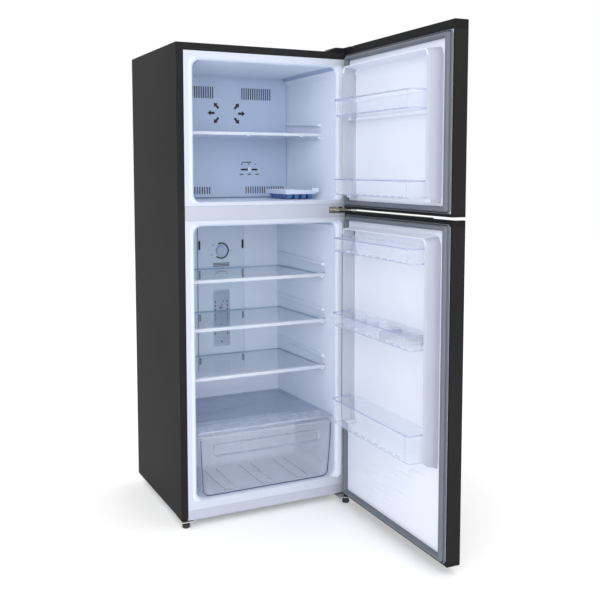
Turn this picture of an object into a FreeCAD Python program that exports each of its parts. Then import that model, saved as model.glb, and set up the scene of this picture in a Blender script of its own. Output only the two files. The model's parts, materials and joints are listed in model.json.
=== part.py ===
"""Top freezer refrigerator: cabinet, two right-hinged doors, shelves, bins and cooling parts.

Everything is drawn in the cabinet's own axes: x = 0 at the middle, y = 0 at the cabinet's
front face with +y into the cabinet, z = 0 on the floor.  Door parts are drawn closed and their
placement turns them open about the hinge axis.  A last shift puts the origin under the middle
of the whole object's box.
"""
import FreeCAD, Part
import math
import os
import re
import Sketcher

DIMENSIONS = {
    # cabinet
    "cabinet_width": 600,
    "cabinet_depth": 478,
    "cabinet_top": 1482,
    "shell_bottom": 28,
    "sheet_gauge": 0.8,
    "front_lip": 22.5,
    "liner_wall": 2,
    "seam": 0.4,
    # compartments: half widths at the mouth, behind the mouth's curve and at the back
    "mouth_half": 262,
    "throat_half": 244.5,
    "throat_depth": 14,
    "freezer_floor": 1007.5,
    "freezer_ceiling": 1441,
    "freezer_back": 430,
    "freezer_back_half": 222.5,
    "fridge_floor": 80,
    "fridge_ceiling": 941,
    "fridge_back": 434,
    "fridge_back_half": 227,
    "ledge_reach": 8,
    "rail_low": 952,
    "rail_high": 996.5,
    "bottom_rail_low": 23.5,
    "bottom_rail_high": 53.5,
    "machine_front": 300,
    "machine_top": 231,
    # cold side
    "cover_front": 350,
    "duct_front": 422,
    "duct_half": 88,
    "duct_panel_half": 111,
    # shelves
    "freezer_shelf_level": 1222,
    "upper_shelf_level": 757,
    "middle_shelf_level": 602.5,
    "lower_shelf_level": 444.5,
    "shelf_front": 74,
    "glass_gauge": 4,
    "crisper_top": 288,
    "crisper_front": 20,
    "drawer_front": 13,
    "drawer_back": 292,
    "drawer_top": 275,
    # doors, drawn closed
    "door_gap": 14.5,
    "door_thickness": 42,
    "freezer_door_low": 980.6,
    "freezer_door_high": 1495.7,
    "fridge_door_low": 24.4,
    "fridge_door_high": 972,
    "gasket_half": 291.5,
    "gasket_band": 27,
    "gasket_clearance": 0.4,
    "dyke_base": 251,
    "dyke_crest": 240,
    "dyke_height": 30,
    "freezer_bin_half": 223,
    "fridge_bin_half": 228,
    "bin_front": 72,
    "bin_wall": 2.2,
    # hinges and supports
    "hinge_x": 282,
    "hinge_y": -34.7,
    "rest_angle": 88.9,
    "pin_radius": 4,
    "running_fit": 0.05,
    "foot_radius": 12,
    "roller_radius": 18,
    "roller_y": 438,
    "roller_x": 250,
    # shift to the middle of the whole object's box, set at the end
    "frame_x": 0,
    "frame_y": 0,
}

V = FreeCAD.Vector
X, Y, Z = "x", "y", "z"
BOTH_SIDES = (-1, 1)
PLANES = {X: ("YZ_Plane", 1), Y: ("XZ_Plane", -1), Z: ("XY_Plane", 1)}
TURNS = {X: FreeCAD.Rotation(V(0, 1, 0), 90), Y: FreeCAD.Rotation(V(1, 0, 0), -90),
         Z: FreeCAD.Rotation()}
FRAME = "placement(vector(frame_x; frame_y; 0); rotation(vector(0; 0; 1); {turn}); {pivot})"
CABINET = FRAME.format(turn="0", pivot="vector(0; 0; 0)")
DOOR = FRAME.format(turn="rest_angle", pivot="vector(hinge_x; hinge_y; 0)")

doc = FreeCAD.newDocument("top_freezer_refrigerator")
dims = doc.addObject("Spreadsheet::Sheet", "Dims")
for row, (alias, value) in enumerate(DIMENSIONS.items(), 1):
    dims.set(f"A{row}", alias)
    dims.set(f"B{row}", str(value))
    dims.setAlias(f"B{row}", alias)
doc.recompute()
nodes = {}


# ---------------------------------------------------------------- building blocks

def in_sheet(expression):
    """The expression with each dimension's name pointing at its cell."""
    def cell(match):
        return "Dims." + match.group() if match.group() in DIMENSIONS else match.group()
    return re.sub(r"[a-z][a-z0-9_]*", cell, str(expression))


def bind(obj, prop, expression):
    obj.setExpression(prop, in_sheet(expression))


def number(expression):
    return float(dims.evalExpression(in_sheet(expression)))


def block(x, y, z):
    """A box between a low and a high expression along each axis."""
    box = doc.addObject("Part::Box", "Block")
    for side, axis, (low, high) in zip(("Length", "Width", "Height"), "xyz", (x, y, z)):
        bind(box, side, f"({high}) - ({low})")
        bind(box, f"Placement.Base.{axis}", low)
    return box


def around(half):
    return f"-({half})", half


def span(start, length):
    return start, f"({start}) + ({length})"


def wedge(y, front_half, back_half, z, rise=0):
    """A plate whose width changes evenly from front to back, and which may rise."""
    plate = doc.addObject("Part::Wedge", "Wedge")
    cells = {"Xmin": f"-({front_half})", "Xmax": front_half, "X2min": f"-({back_half})",
             "X2max": back_half, "Ymin": y[0], "Ymax": y[1], "Zmin": z[0], "Zmax": z[1],
             "Z2min": f"{z[0]} + {rise}", "Z2max": f"{z[1]} + {rise}"}
    for prop, expression in cells.items():
        bind(plate, prop, expression)
    return plate


def cylinder(axis, centre, radius, reach, shape="Part::Cylinder"):
    """A cylinder along an axis; centre gives the other two coordinates in x, y, z order."""
    rod = doc.addObject(shape, "Rod")
    rod.Placement = FreeCAD.Placement(V(), TURNS[axis])
    base = dict(zip([a for a in "xyz" if a != axis], centre))
    base[axis] = reach[0]
    for name, expression in base.items():
        bind(rod, f"Placement.Base.{name}", expression)
    bind(rod, "Height", f"({reach[1]}) - ({reach[0]})")
    if shape == "Part::Cylinder":
        bind(rod, "Radius", radius)
    else:
        bind(rod, "Radius1", radius[0])
        bind(rod, "Radius2", radius[1])
    return rod


def cone(axis, centre, radii, reach):
    return cylinder(axis, centre, radii, reach, "Part::Cone")


def ring(axis, centre, radii, reach):
    return cut(cylinder(axis, centre, radii[1], reach), cylinder(axis, centre, radii[0], reach))


def together(kind, shapes):
    joined = doc.addObject(kind, "Joined")
    setattr(joined, "Links" if kind == "Part::Compound" else "Shapes", list(shapes))
    return joined


def fuse(*shapes):
    return shapes[0] if len(shapes) == 1 else together("Part::MultiFuse", shapes)


def common(*shapes):
    return together("Part::MultiCommon", shapes)


def cut(base, *tools):
    result = doc.addObject("Part::Cut", "Cut")
    result.Base = base
    result.Tool = fuse(*tools)
    return result


def rounded_rectangle(body, axis, at, a, b, radius):
    """A fully constrained rounded rectangle across an axis, bound to the sheet."""
    role, side = PLANES[axis]
    sketch = body.newObject("Sketcher::SketchObject", "Section")
    plane = next(f for f in body.Origin.OriginFeatures if f.Role == role)
    sketch.AttachmentSupport = [(plane, "")]
    sketch.MapMode = "FlatFace"
    bind(sketch, "AttachmentOffset.Base.z", f"{side} * ({at})")
    (a0, a1), (b0, b1) = [[number(end) for end in pair] for pair in (a, b)]
    r = number(radius)
    corners = [(a1 - r, b0 + r), (a1 - r, b1 - r), (a0 + r, b1 - r), (a0 + r, b0 + r)]
    arcs = []
    for quarter, (p, q) in enumerate(corners):
        circle = Part.Circle(V(p, q, 0), V(0, 0, 1), r)
        start = math.radians(90 * (quarter - 1))
        arcs.append(Part.ArcOfCircle(circle, start, start + math.pi / 2))
    outline = []
    for before, arc in zip(arcs[-1:] + arcs[:-1], arcs):
        outline += [Part.LineSegment(before.EndPoint, arc.StartPoint), arc]
    sketch.addGeometry(outline, False)
    for k in range(8):
        sketch.addConstraint(Sketcher.Constraint("Tangent", k, 2, (k + 1) % 8, 1))
    for k in (0, 4):
        sketch.addConstraint(Sketcher.Constraint("Horizontal", k))
        sketch.addConstraint(Sketcher.Constraint("Vertical", k + 2))
    for k in (1, 3, 5):
        sketch.addConstraint(Sketcher.Constraint("Equal", k, k + 2))
    ends = [("DistanceX", 6, a0, a[0]), ("DistanceX", 2, a1, a[1]),
            ("DistanceY", 0, b0, b[0]), ("DistanceY", 4, b1, b[1])]
    for kind, line, value, expression in ends:
        index = sketch.addConstraint(Sketcher.Constraint(kind, -1, 1, line, 1, value))
        bind(sketch, f"Constraints[{index}]", expression)
    index = sketch.addConstraint(Sketcher.Constraint("Radius", 1, r))
    bind(sketch, f"Constraints[{index}]", radius)
    return sketch


def loft(axis, *sections):
    """A body through rounded rectangles stacked along an axis."""
    body = doc.addObject("PartDesign::Body", "Loft")
    sketches = [rounded_rectangle(body, axis, *section) for section in sections]
    skin = body.newObject("PartDesign::AdditiveLoft", "Skin")
    skin.Profile = (sketches[0], [""])
    skin.Sections = [(sketch, [""]) for sketch in sketches[1:]]
    skin.Ruled = True
    return body


def slab(axis, reach, a, b, radius):
    """A rounded rectangle drawn out straight along an axis."""
    return loft(axis, (reach[0], a, b, radius), (reach[1], a, b, radius))


def node(name, *solids, frame=CABINET):
    """One named sub-part: a group of one or more separate solids."""
    group = together("Part::Compound", solids)
    group.Label = name
    bind(group, "Placement", frame)
    nodes[name] = group
    return group


# ---------------------------------------------------------------- cabinet

HALF = "cabinet_width / 2"
INSIDE = f"{HALF} - sheet_gauge"
WIDE = around("cabinet_width")


def compartment(floor, ceiling, back, back_half, grow=0):
    """The hollow of a compartment, or with grow its liner's outer surface."""
    flare = "throat_depth"
    return loft(
        Y,
        (0, around(f"mouth_half + {grow}"), (f"{floor} - {grow}", f"{ceiling} + {grow}"),
         f"18 + {grow}"),
        (5, around(f"throat_half + 6 + {grow}"),
         (f"{floor} + 0.6 - {grow}", f"{ceiling} - 3.5 + {grow}"), f"20 + {grow}"),
        (flare, around(f"throat_half + {grow}"),
         (f"{floor} + 1 - {grow}", f"{ceiling} - 7 + {grow}"), f"24 + {grow}"),
        (f"{back} + {grow}", around(f"{back_half} + {grow}"),
         (f"{floor} + 1 - {grow}", f"{ceiling} - 16 + {grow}"), f"26 + {grow}"))


def freezer_space(grow=0):
    return compartment("freezer_floor", "freezer_ceiling", "freezer_back",
                       "freezer_back_half", grow)


def fridge_space(grow=0):
    """The fridge hollow, less the step over the machine compartment."""
    step = block(WIDE, (f"machine_front - 4 + {grow}", "cabinet_depth"),
                 (0, f"machine_top + 4 - {grow}"))
    return cut(compartment("fridge_floor", "fridge_ceiling", "fridge_back",
                           "fridge_back_half", grow), step)


def ledges(space, levels, y):
    """Ribs on both side walls that stand in from the liner by the ledge's reach."""
    strips = [wedge(y, HALF, HALF, (low, high), rise) for low, high, rise in levels]
    return common(cut(space(0), space("-ledge_reach")), fuse(*strips))


def build_shell():
    outer = block(around(HALF), (0, "cabinet_depth"), ("shell_bottom", "cabinet_top"))
    inner = block(around(INSIDE), ("sheet_gauge", "cabinet_depth + 1"),
                  ("shell_bottom - 1", "cabinet_top - sheet_gauge"))
    window = block(around(f"{HALF} - front_lip"), (-1, "sheet_gauge + 1"),
                   ("shell_bottom - 1", "cabinet_top - front_lip"))
    node("outer_wrap", cut(outer, inner, window))
    panel = block(around(INSIDE), ("cabinet_depth - sheet_gauge", "cabinet_depth"),
                  ("machine_top + 1", "cabinet_top - sheet_gauge"))
    node("rear_panel", panel)
    floor = block(around(INSIDE), (26, "machine_front"), ("shell_bottom", "shell_bottom + 1.2"))
    riser = block(around(INSIDE), ("machine_front - 1.2", "machine_front"),
                  ("shell_bottom", "machine_top"))
    roof = block(around(INSIDE), ("machine_front - 1.2", "cabinet_depth"),
                 ("machine_top - 1.2", "machine_top"))
    node("base_deck", fuse(floor, riser, roof))
    node("mullion_rail", block(around("mouth_half + 15"), (0, 8),
                               ("rail_low + seam", "rail_high - seam")))
    beam = block(around("mouth_half + 15"), (0, 24), ("bottom_rail_low", "bottom_rail_high"))
    hollow = block(around("mouth_half + 13"), (2, 25),
                   ("bottom_rail_low + 2", "bottom_rail_high - 2"))
    node("bottom_rail", cut(beam, hollow))


def build_liners():
    lip = around("mouth_half + 15")
    freezer_lip = block(lip, (0, "liner_wall"), ("rail_high", "cabinet_top - front_lip - seam"))
    level = "freezer_shelf_level"
    levels = [(f"{level} - 13", f"{level} - 4.4", 0), (f"{level} + 29", f"{level} + 38", 14)]
    freezer_ledges = ledges(freezer_space, levels, (112, 340))
    node("freezer_liner", fuse(cut(fuse(freezer_lip, freezer_space("liner_wall")),
                                   freezer_space()), freezer_ledges))
    fridge_lip = block(lip, (0, "liner_wall"), ("bottom_rail_high + seam", "rail_low"))
    levels = []
    for shelf in ("upper", "middle", "lower"):
        level = f"{shelf}_shelf_level"
        levels += [(f"{level} - 15", f"{level} - 5.5", 0), (f"{level} + 27", f"{level} + 36", 14)]
    levels.append(("crisper_top - 12", "crisper_top - 6.4", 0))
    fridge_ledges = ledges(fridge_space, levels, (90, 420))
    duct_panel = slab(Y, ("duct_front + 4", "fridge_back"), around("duct_panel_half"), (312, 921), 12)
    node("fridge_liner", fuse(cut(fuse(fridge_lip, fridge_space("liner_wall")),
                                  fridge_space()), fridge_ledges, duct_panel))
    filling = block(around(INSIDE), ("liner_wall", "cabinet_depth - sheet_gauge"),
                    ("shell_bottom + 1.2", "cabinet_top - sheet_gauge"))
    node("insulation_foam", cut(
        filling, freezer_space("liner_wall"), fridge_space("liner_wall"),
        block(WIDE, ("machine_front - 1.2", "cabinet_depth"), (0, "machine_top")),
        block(WIDE, (0, 8), ("rail_low", "rail_high")),
        block(WIDE, (0, 26), (0, "bottom_rail_high + seam"))))


# ---------------------------------------------------------------- cold side

def mirrored_slots(first, last, pitch, width, y, z):
    """Upright slots from first to last, on both sides of the middle."""
    count = int((last - first - width) / pitch) + 1
    lows = [first + pitch * k for k in range(count)]
    return [block(sorted((side * low, side * (low + width))), y, z)
            for low in lows for side in BOTH_SIDES]


def build_freezer_fittings():
    cover_half = "freezer_back_half + 2.8"
    tray = slab(Y, ("cover_front", "cover_front + 9"), around(cover_half), (1012, 1418), 24)
    behind = slab(Y, ("cover_front + 2.6", "cover_front + 10"), around(f"{cover_half} - 3"),
                  (1015, 1415), 21)
    through = ("cover_front - 1", "cover_front + 4")
    grilles = mirrored_slots(52, 167, 8.2, 4.6, through, (1350, 1390))
    grilles += mirrored_slots(66, 219, 9, 4.4, through, (1023, 1047))
    groove = block((48, 112), through, (1104, 1110))
    node("evaporator_cover", cut(tray, behind, *grilles, groove))
    knob = block((74, 86), ("cover_front - 5", "cover_front - 0.4"), (1098, 1116))
    tongue = block((76, 84), ("cover_front - 0.5", "cover_front + 5"), (1104.4, 1109.6))
    node("airflow_slider", fuse(knob, tongue))

    fins = [block(span(-180 + 18 * k, 1.2), (368, 418), (1090, 1270)) for k in range(21)]
    tubes = [cylinder(X, (380 + 26 * column, 1112 + 34 * level), 4, (-196, 196))
             for column in range(2) for level in range(5)]
    bends = [block(span(side * 193 - 3, 6), (376, 410), span(1108 + 34 * level, 8))
             for side in BOTH_SIDES for level in range(5)]
    node("evaporator", fuse(*fins, *tubes, *bends))
    fan = (0, 1340)
    blades = []
    for k in range(5):
        blade = doc.addObject("Part::Box", "Blade")
        blade.Length, blade.Width, blade.Height = 40, 1.6, 26
        pitch = FreeCAD.Rotation(V(1, 0, 0), 28)
        spin = FreeCAD.Rotation(V(0, 1, 0), 72 * k)
        place = FreeCAD.Placement(V(fan[0], 376, fan[1]), spin)
        blade.Placement = place.multiply(FreeCAD.Placement(pitch.multVec(V(11, 0, -13)), pitch))
        blades.append(blade)
    hub = cylinder(Y, fan, 14, (368, 384))
    bore = cylinder(Y, fan, "1.5 + running_fit", (360, 390))
    node("fan_blade", cut(fuse(hub, *blades), bore))
    motor = cylinder(Y, fan, 26, (388, 412))
    shaft = cylinder(Y, fan, 1.5, (370, 389))
    legs = block((-60, 60), (412, "freezer_back"), (1330, 1350))
    node("fan_motor", fuse(motor, shaft, legs))

    level = "freezer_shelf_level"
    plate = wedge(("shelf_front + 33", 344), 236, 225, (f"{level} - 4", level))
    front = block(around(237), span("shelf_front + 29", 7), (f"{level} - 5", f"{level} + 4"))
    clips = [block(span(x, 9), ("shelf_front + 38", "shelf_front + 46"),
                   (f"{level} - 8", f"{level} - 4")) for x in (-216, -26, 164)]
    node("freezer_shelf", fuse(plate, front, *clips))

    tray_x, tray_y = (104, 224), (96, 276)
    shell = loft(Z, ("freezer_floor + 1.6", (112, 200), (104, 268), 8),
                 ("freezer_floor + 32", tray_x, tray_y, 10))
    cups = []
    for column in range(4):
        for line in range(6):
            x, y = 116 + 25 * column, 108 + 26 * line
            cups.append(loft(Z, ("freezer_floor + 9", (x + 4, x + 16), (y + 3, y + 19), 3),
                             ("freezer_floor + 24", (x, x + 20), (y, y + 22), 4)))
    well = block((108, 220), (100, 272), ("freezer_floor + 24", "freezer_floor + 33"))
    node("ice_tray", cut(shell, well, *cups))


def build_fridge_fittings():
    outlets = []
    for low, high in ((823, 854), (717, 747), (566, 591), (410, 433)):
        for side in BOTH_SIDES:
            x = sorted((side * 80.5, side * 86))
            outlets.append(block(x, ("duct_front - 1", "duct_front + 3"), (low, high)))
    louvres = [block(around(31), ("duct_front - 1", "duct_front + 3"), (760 + 5 * k, 763 + 5 * k))
               for k in range(3)]
    window = block(around(28), ("duct_front - 1", "duct_front + 5"), (475, 671))
    spindle_hole = cylinder(Y, (0, 817), "4 + running_fit", ("duct_front - 1", "duct_front + 5"))
    face = slab(Y, ("duct_front", "duct_front + 4"), around("duct_half"), (377, 917), 8)
    pocket = block(around("duct_half - 3"), ("duct_front + 2.2", "duct_front + 5"), (380, 914))
    node("air_duct_cover", cut(face, pocket, *outlets, *louvres, window, spindle_hole))
    knob = cylinder(Y, (0, 817), 20, ("duct_front - 12", "duct_front - 0.4"))
    grip = block(around(3), ("duct_front - 15", "duct_front - 12"), (799, 835))
    spindle = cylinder(Y, (0, 817), 4, ("duct_front - 1", "duct_front + 3.6"))
    node("temperature_dial", fuse(knob, grip, spindle))
    node("lamp_lens", slab(Y, ("duct_front - 2.4", "duct_front - 0.1"), around(31.5), (470, 676), 5))

    for shelf in ("upper", "middle", "lower"):
        level = f"{shelf}_shelf_level"
        glass = wedge(("shelf_front + 9", 418), 238, 224, (f"{level} - 5", f"{level} - 1"))
        node(f"{shelf}_glass_shelf", glass)
        trim = block(around(239.5), span("shelf_front", 14), (f"{level} - 7", f"{level} + 3"))
        slot = block(around(241), ("shelf_front + 8.6", "shelf_front + 15"),
                     (f"{level} - 5", f"{level} - 1"))
        node(f"{shelf}_shelf_trim", cut(trim, slot))

    cover = wedge(("crisper_front", 420), 240, 224.5, ("crisper_top - 6", "crisper_top"))
    inset = wedge(("crisper_front + 86", 414), 228, 214, ("crisper_top - 2.4", "crisper_top + 1"))
    under = wedge(("crisper_front + 5", 415), 233, 219, ("crisper_top - 7", "crisper_top - 4"))
    node("crisper_cover", cut(cover, inset, under))

    node("crisper_drawer", build_drawer())


def build_drawer():
    """A clear drawer with leaning sides, rounded lower edges and a grip across its front."""
    profile = [("fridge_floor + 1.6", 204, 14, 24, 12), ("fridge_floor + 18", 221, 6, 12, 16),
               ("drawer_top", 232, 0, 0, 18)]
    wall = "bin_wall + 0.3"
    outside, inside = [], []
    for step, (z, half, front, back, radius) in enumerate(profile):
        y = (f"drawer_front + {front}", f"drawer_back - {back}")
        outside.append((z, around(half), y, radius))
        lift = (f"{z} + 3", z, f"{z} + 1")[step]
        inside.append((lift, around(f"{half} - {wall}"), (f"{y[0]} + {wall}", f"{y[1]} - ({wall})"),
                       radius - 2))
    shell = cut(loft(Z, *outside), loft(Z, *inside))
    grip_outer = block(around(186), ("drawer_front + 2.5", "drawer_front + 20"), (205, 246))
    grip_inner = block(around(183.5), ("drawer_front - 2", "drawer_front + 17.5"), (207.5, 243.5))
    runners = [block(span(x, 4), ("drawer_front + 34", "drawer_back - 40"),
                     ("fridge_floor + 3", "fridge_floor + 7")) for x in (-130, -2, 126)]
    return cut(fuse(shell, grip_outer, *runners), grip_inner)


# ---------------------------------------------------------------- machine compartment

def build_machine():
    inner = around(INSIDE)
    plate = block(inner, ("machine_front + 4", "cabinet_depth - 4"),
                  ("shell_bottom", "shell_bottom + 2"))
    wells, ears = [], []
    for side in BOTH_SIDES:
        centre = f"{side} * roller_x"
        wells.append(block((f"{centre} - 11", f"{centre} + 11"),
                           ("roller_y - 21", "roller_y + 21"), (20, 40)))
        for offset in (-13.5, 11.5):
            ears.append(block(span(f"{centre} + {offset}", 2), ("roller_y - 9", "roller_y + 9"),
                              (11, "shell_bottom + 1")))
        ears.append(cylinder(X, ("roller_y", "roller_radius"), 3,
                             (f"{centre} - 13.5", f"{centre} + 13.5")))
        node(f"{'left' if side < 0 else 'right'}_rear_roller",
             ring(X, ("roller_y", "roller_radius"), ("3 + running_fit", "roller_radius"),
                  (f"{centre} - 9", f"{centre} + 9")))
    node("compressor_plate", fuse(cut(plate, *wells), *ears))

    middle = (70, 390)
    pot = cylinder(Z, middle, 74, (74, 150))
    top = cone(Z, middle, (74, 46), (150, 180))
    bottom = cone(Z, middle, (50, 74), (52, 74))
    saddle = block((-20, 160), (330, 450), (48, 52))
    relay = block((140, 162), (362, 418), (92, 142))
    node("compressor", fuse(pot, top, bottom, saddle, relay))
    mounts = [cylinder(Z, (x, y), 11, (30, 48)) for x in (-8, 148) for y in (340, 440)]
    node("compressor_mounts", *mounts)
    runs = [cylinder(X, (330 + 30 * column, 60 + 28 * level), 3, (-262, -70))
            for column in range(4) for level in range(5)]
    heads = [block(span(x, 6), (324, 426), span(56 + 28 * level, 8))
             for x in (-265, -73) for level in range(5)]
    post = block((-70, -64), (324, 426), ("shell_bottom + 2", 180))
    node("condenser", fuse(*runs, *heads, post))

    cover = block(around(f"{INSIDE} - 1"), ("cabinet_depth - 2", "cabinet_depth"), (36, 226))
    slots = [block(span(x, 60), ("cabinet_depth - 3", "cabinet_depth + 1"), span(64 + 16 * k, 6))
             for x in (-240, -160, -80, 40, 120) for k in range(8)]
    gland_hole = cylinder(Y, (250, 70), 8, ("cabinet_depth - 3", "cabinet_depth + 1"))
    node("machine_cover", cut(cover, *slots, gland_hole))
    sleeve = fuse(cylinder(Y, (250, 70), 8, ("cabinet_depth - 14", "cabinet_depth + 2")),
                  cylinder(Y, (250, 70), 12, ("cabinet_depth", "cabinet_depth + 2")))
    node("cord_gland", cut(sleeve, cylinder(Y, (250, 70), 4.2,
                                            ("cabinet_depth - 15", "cabinet_depth + 3"))))


# ---------------------------------------------------------------- hinges and supports

HINGE = ("hinge_x", "hinge_y")


def screw(x, z):
    """A pan-head screw that stands on the middle hinge's flange."""
    return cone(Y, (x, z), (3, 4), (-4.4, -2))


def build_hinges():
    arm_low, arm_high = "cabinet_top + 1", "cabinet_top + 3.5"
    arm = fuse(block((268, 296), ("hinge_y", 20), (arm_low, arm_high)),
               block((246, 296), (8, 60), (arm_low, arm_high)))
    nose = cylinder(Z, HINGE, 14, (arm_low, arm_high))
    seat = block((246, 296), (8, 60), ("cabinet_top", arm_low))
    pin = cylinder(Z, HINGE, "pin_radius", ("cabinet_top - 9", arm_low))
    node("top_hinge", fuse(arm, nose, seat, pin))
    hood_low, hood_high = "cabinet_top + 1.2", "cabinet_top + 15"
    hood = fuse(loft(Z, (hood_low, (206, 299), (1, 66), 6), (hood_high, (236, 298), (3, 64), 6)),
                block((265, 299), ("hinge_y", 20), (hood_low, hood_high)),
                cylinder(Z, HINGE, 17, (hood_low, hood_high)))
    room = fuse(loft(Z, ("cabinet_top + 1", (211, 297.6), (3, 64), 5),
                     ("cabinet_top + 13", (239, 296.6), (5, 62), 5)),
                block((266.6, 297.6), ("hinge_y", 20), ("cabinet_top + 1", "cabinet_top + 13")),
                cylinder(Z, HINGE, 15.4, ("cabinet_top + 1", "cabinet_top + 13")))
    node("top_hinge_cover", cut(hood, room))

    gap_middle = "(fridge_door_high + freezer_door_low) / 2"
    leaf = (f"{gap_middle} - 1.5", f"{gap_middle} + 1.5")
    flange = block((212, 276), (-2, 0), (f"{gap_middle} - 10", f"{gap_middle} + 10"))
    arm = block((232, 296), ("hinge_y + 4", 0), leaf)
    nose = cylinder(Z, HINGE, 13.5, leaf)
    pins = cylinder(Z, HINGE, "pin_radius", ("fridge_door_high - 8", "freezer_door_low + 7"))
    node("middle_hinge", fuse(flange, arm, nose, pins))

    leaf = ("fridge_door_low - 6", "fridge_door_low - 3")
    fit = "pin_radius + running_fit"
    arm = block((238, 297), ("hinge_y", 60), leaf)
    nose = cylinder(Z, HINGE, 14, leaf)
    boss = cylinder(Z, ("hinge_x - 18", "hinge_y + 7"), 13, leaf)
    riser = block((240, 292), (28, 60), (leaf[0], "shell_bottom"))
    pin = cylinder(Z, HINGE, "pin_radius", (leaf[0], "fridge_door_low + 11"))
    foot_hole = cylinder(Z, ("hinge_x - 18", "hinge_y + 7"), fit, leaf)
    node("bottom_hinge", cut(fuse(arm, nose, boss, riser, pin), foot_hole))
    bracket = fuse(block((-297, -260), (-3, 60), leaf),
                   block((-292, -240), (28, 60), (leaf[0], "shell_bottom")))
    node("left_foot_bracket", cut(bracket, cylinder(Z, (-281.5, 11), fit, leaf)))

    for name, centre in (("left_front_foot", (-281.5, 11)),
                         ("right_front_foot", ("hinge_x - 18", "hinge_y + 7"))):
        pad = fuse(cone(Z, centre, ("foot_radius - 1.5", "foot_radius"), (0, 3)),
                   cylinder(Z, centre, "foot_radius", (3, 10)),
                   cylinder(Z, centre, "foot_radius - 3", (10, 14)),
                   cylinder(Z, centre, "pin_radius", (14, "fridge_door_low - 1.4")))
        node(name, pad)

    heads = [screw(222, gap_middle)] + [screw(x, f"{gap_middle} + 5.7") for x in (244, 266)]
    top_heads = [cylinder(Z, (x, y), 4.5, (arm_high, "cabinet_top + 6"))
                 for x, y in ((256, 20), (286, 28), (268, 48))]
    node("hinge_screws", *heads, *top_heads)


# ---------------------------------------------------------------- doors, drawn closed

FACE = "-door_gap - door_thickness"
BACK = "-door_gap"


def build_door(name, low, high, bottom_cap, top_cap, seal, dyke):
    """Skin, caps, foam, liner and gasket of one door."""
    inner_low, inner_high = f"{low} + {bottom_cap}", f"{high} - {top_cap}"
    height = (inner_low, inner_high)
    skin = cut(block(around(HALF), (FACE, BACK), height),
               block(around(INSIDE), (f"{FACE} + sheet_gauge", f"{BACK} - sheet_gauge"), height),
               block(around(f"{HALF} - 7"), (f"{BACK} - 1", f"{BACK} + 1"), height))
    node(f"{name}_door_skin", skin, frame=DOOR)
    foam = block(around(INSIDE), (f"{FACE} + sheet_gauge", f"{BACK} - 2"), height)
    node(f"{name}_door_foam", foam, frame=DOOR)

    plate = block(around(f"{HALF} - 7.5"), (f"{BACK} - 2", BACK), height)
    crest = "dyke_height"
    outer = loft(Y, (BACK, around("dyke_base"), dyke, 16),
                 (crest, around("dyke_crest"), (f"{dyke[0]} + 6", f"{dyke[1]} - 9"), 20))
    inner = loft(Y, (BACK, around("dyke_base - 21.5"), (f"{dyke[0]} - 30", f"{dyke[1]} - 15"), 18),
                 (f"{crest} + 0.2", around("dyke_crest - 4"),
                  (f"{dyke[0]} - 30", f"{dyke[1]} - 13"), 20))
    lugs = []
    for bin_low in (b[1] for b in BINS if b[0].startswith(name)):
        for side in BOTH_SIDES:
            x = sorted((side * 214, side * 234))
            lugs.append(block(x, (BACK, 14), (f"{bin_low} - 9", f"{bin_low} - 0.4")))
    node(f"{name}_door_liner", fuse(plate, cut(outer, inner), *lugs), frame=DOOR)

    band = "gasket_band"
    roll = (f"{seal[0]} + 4", f"{seal[1]} - 4")
    lip = loft(Y, (BACK, around("gasket_half"), seal, 5), (-7, around("gasket_half"), seal, 5),
               ("-gasket_clearance", around("gasket_half - 7.5"), roll, 6))
    gasket = cut(lip, slab(Y, (BACK, "-gasket_clearance"), around(f"gasket_half - {band}"),
                           (f"{seal[0]} + 25", f"{seal[1]} - 24"), 8))
    node(f"{name}_door_gasket", gasket, frame=DOOR)


def cap(z):
    return block(around(HALF), (FACE, BACK), z)


def socket(z):
    """The bore in a cap that turns on a hinge pin."""
    return cylinder(Z, HINGE, "pin_radius + running_fit", z)


def build_doors():
    build_door("freezer", "freezer_door_low", "freezer_door_high", 9, 26,
               (989, 1470), ("1017", "1433"))
    build_door("fridge", "fridge_door_low", "fridge_door_high", 14, 17,
               (30, 962), ("286", "928"))
    low, high = "freezer_door_low", "freezer_door_high"
    notch = block((248, 301), (f"{FACE} - 1", f"{BACK} + 1"), ("cabinet_top + 0.4", f"{high} + 1"))
    node("freezer_door_top_cap",
         cut(cap((f"{high} - 26", high)), notch, socket(("cabinet_top - 9.6", high))), frame=DOOR)
    node("freezer_door_bottom_cap",
         cut(cap((low, f"{low} + 9")), socket((low, f"{low} + 7.4"))), frame=DOOR)
    low, high = "fridge_door_low", "fridge_door_high"
    scoop = slab(Y, (f"{FACE} - 1", f"{FACE} + 24"), (-288, -150), (f"{high} - 11", f"{high} + 12"), 8)
    node("fridge_door_top_cap",
         cut(cap((f"{high} - 17", high)), scoop, socket((f"{high} - 8.4", high))), frame=DOOR)
    node("fridge_door_bottom_cap",
         cut(cap((low, f"{low} + 14")), socket((low, f"{low} + 11.4"))), frame=DOOR)


# name, level of its floor, level of its rim
BINS = [
    ("freezer_upper_bin", 1269, 1322),
    ("freezer_lower_bin", 1028, 1078),
    ("fridge_upper_bin", 850, 895),
    ("fridge_middle_bin", 614, 658),
    ("fridge_lower_bin", 299, 381),
]


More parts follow.
